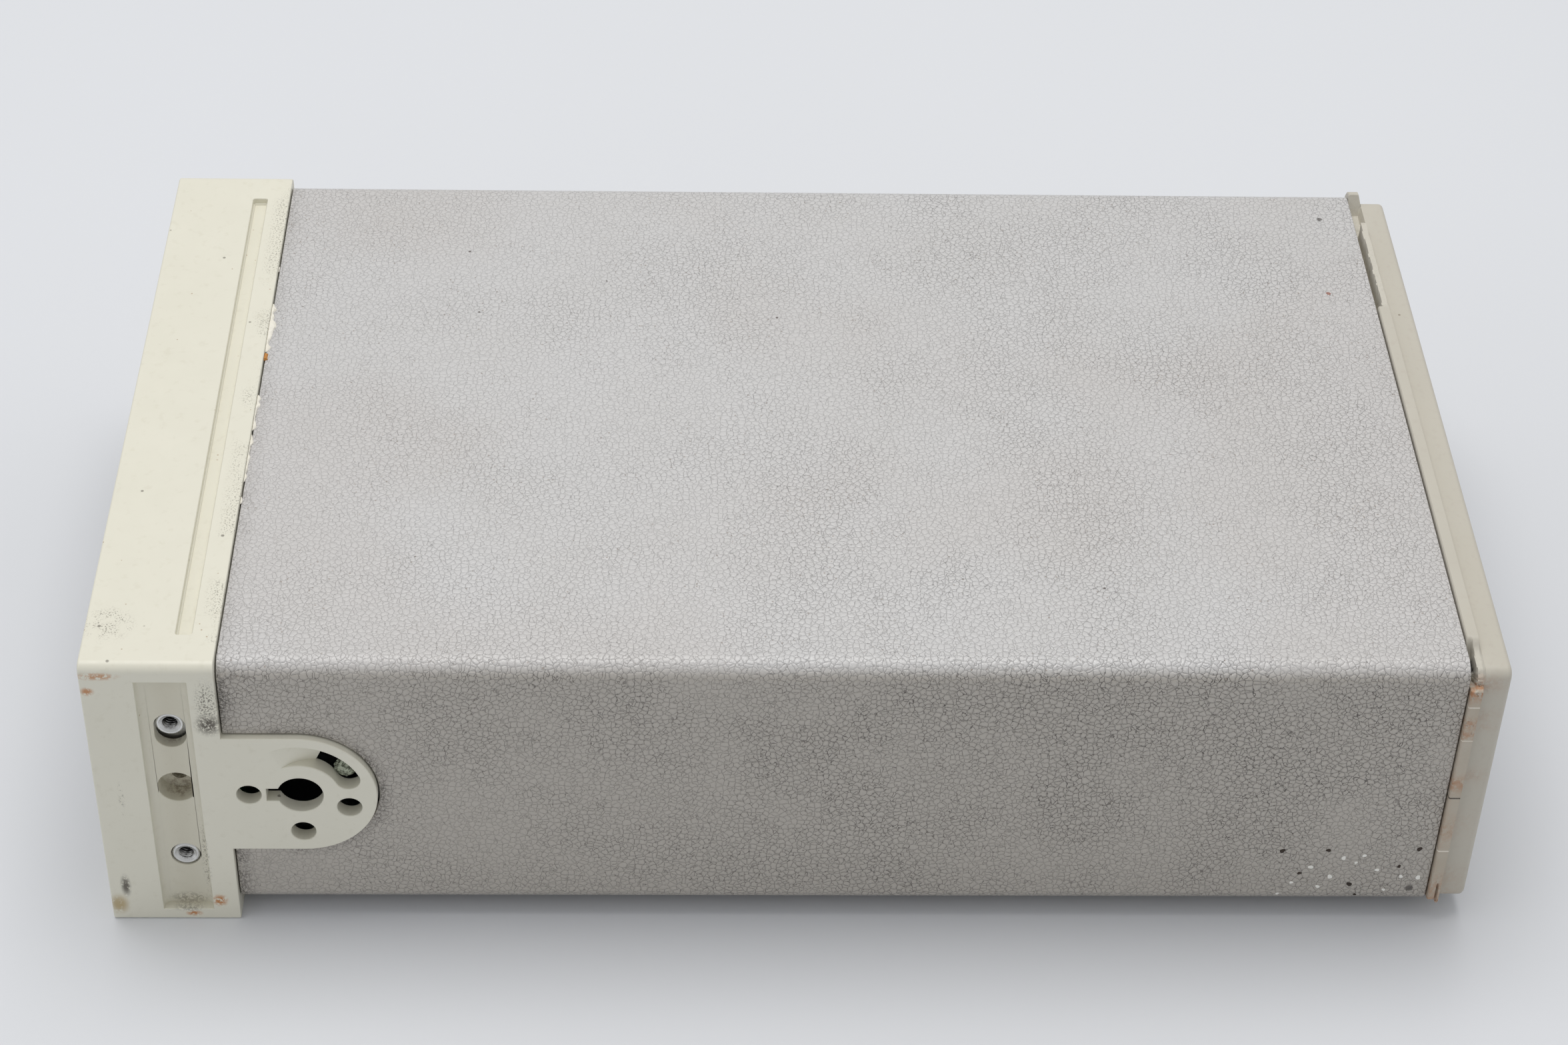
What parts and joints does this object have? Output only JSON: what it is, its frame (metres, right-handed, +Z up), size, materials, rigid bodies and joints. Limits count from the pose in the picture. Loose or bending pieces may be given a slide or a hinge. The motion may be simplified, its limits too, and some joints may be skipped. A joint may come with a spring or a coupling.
{
  "type": "audio patch bay",
  "caption": "Half-rack bench enclosure with rows of quarter-inch jack sockets, sliding mode switches, a leather-grained sleeve, handle lugs and multiway rear connectors.",
  "frame": {"origin": "middle of the footprint at the resting plane: centre of width and depth, at the bottom of the front frame and rear feet", "axes": "+X to the right seen from the front, +Y from the front face to the rear, +Z up"},
  "size_m": [0.213, 0.3536, 0.0889],
  "materials": {
    "frame_plastic": "satin moulded",
    "sleeve_vinyl": "leather-grain textured coating, satin",
    "bezel_plastic": "satin moulded",
    "dark_panel": "fine texture paint",
    "plated_steel": "zinc plated",
    "aluminium": "mill finish",
    "black_plastic": "moulded",
    "jack_body": "glass-filled, satin",
    "switch_cap": "moulded",
    "board_green": "solder mask",
    "ribbon_grey": "smooth",
    "rubber": "matte"
  },
  "bodies": {
    "case": {"front_frame": "frame_plastic", "case_sleeve": "sleeve_vinyl", "rear_bezel": "bezel_plastic", "front_panel": "dark_panel", "rear_panel": "dark_panel", "chassis_tray": "aluminium", "right_side_rail": "plated_steel", "right_upper_insert": "plated_steel", "right_lower_insert": "plated_steel", "right_ribbon_cable": "ribbon_grey", "right_bezel_screw": "plated_steel", "right_rear_foot": "rubber", "right_lower_panel_screw": "plated_steel", "right_upper_panel_screw": "plated_steel", "left_side_rail": "plated_steel", "left_upper_insert": "plated_steel", "left_lower_insert": "plated_steel", "left_ribbon_cable": "ribbon_grey", "left_bezel_screw": "plated_steel", "left_rear_foot": "rubber", "left_lower_panel_screw": "plated_steel", "left_upper_panel_screw": "plated_steel", "jack_board": "board_green", "connector_board": "board_green", "lower_multiway_connector": "plated_steel", "upper_multiway_connector": "plated_steel", "ground_post": "plated_steel", "ground_nut": "plated_steel", "upper_jack_1": "jack_body", "lower_jack_1": "jack_body", "mode_switch_1": "black_plastic", "upper_jack_2": "jack_body", "lower_jack_2": "jack_body", "mode_switch_2": "black_plastic", "upper_jack_3": "jack_body", "lower_jack_3": "jack_body", "mode_switch_3": "black_plastic", "upper_jack_4": "jack_body", "lower_jack_4": "jack_body", "mode_switch_4": "black_plastic", "upper_jack_5": "jack_body", "lower_jack_5": "jack_body", "mode_switch_5": "black_plastic", "upper_jack_6": "jack_body", "lower_jack_6": "jack_body", "mode_switch_6": "black_plastic", "upper_jack_7": "jack_body", "lower_jack_7": "jack_body", "mode_switch_7": "black_plastic", "upper_jack_8": "jack_body", "lower_jack_8": "jack_body", "mode_switch_8": "black_plastic"},
    "slider_1": {"mode_slider_1": "switch_cap"},
    "slider_2": {"mode_slider_2": "switch_cap"},
    "slider_3": {"mode_slider_3": "switch_cap"},
    "slider_4": {"mode_slider_4": "switch_cap"},
    "slider_5": {"mode_slider_5": "switch_cap"},
    "slider_6": {"mode_slider_6": "switch_cap"},
    "slider_7": {"mode_slider_7": "switch_cap"},
    "slider_8": {"mode_slider_8": "switch_cap"}
  },
  "joints": [
    {"name": "mode_slide_1", "type": "slide", "parent": "case", "child": "slider_1", "axis": [1, 0, 0], "range_m": [-0.002, 0.002]},
    {"name": "mode_slide_2", "type": "slide", "parent": "case", "child": "slider_2", "axis": [1, 0, 0], "range_m": [-0.002, 0.002]},
    {"name": "mode_slide_3", "type": "slide", "parent": "case", "child": "slider_3", "axis": [1, 0, 0], "range_m": [-0.002, 0.002]},
    {"name": "mode_slide_4", "type": "slide", "parent": "case", "child": "slider_4", "axis": [1, 0, 0], "range_m": [-0.002, 0.002]},
    {"name": "mode_slide_5", "type": "slide", "parent": "case", "child": "slider_5", "axis": [1, 0, 0], "range_m": [-0.002, 0.002]},
    {"name": "mode_slide_6", "type": "slide", "parent": "case", "child": "slider_6", "axis": [1, 0, 0], "range_m": [-0.002, 0.002]},
    {"name": "mode_slide_7", "type": "slide", "parent": "case", "child": "slider_7", "axis": [1, 0, 0], "range_m": [-0.002, 0.002]},
    {"name": "mode_slide_8", "type": "slide", "parent": "case", "child": "slider_8", "axis": [1, 0, 0], "range_m": [-0.002, 0.002]}
  ]
}
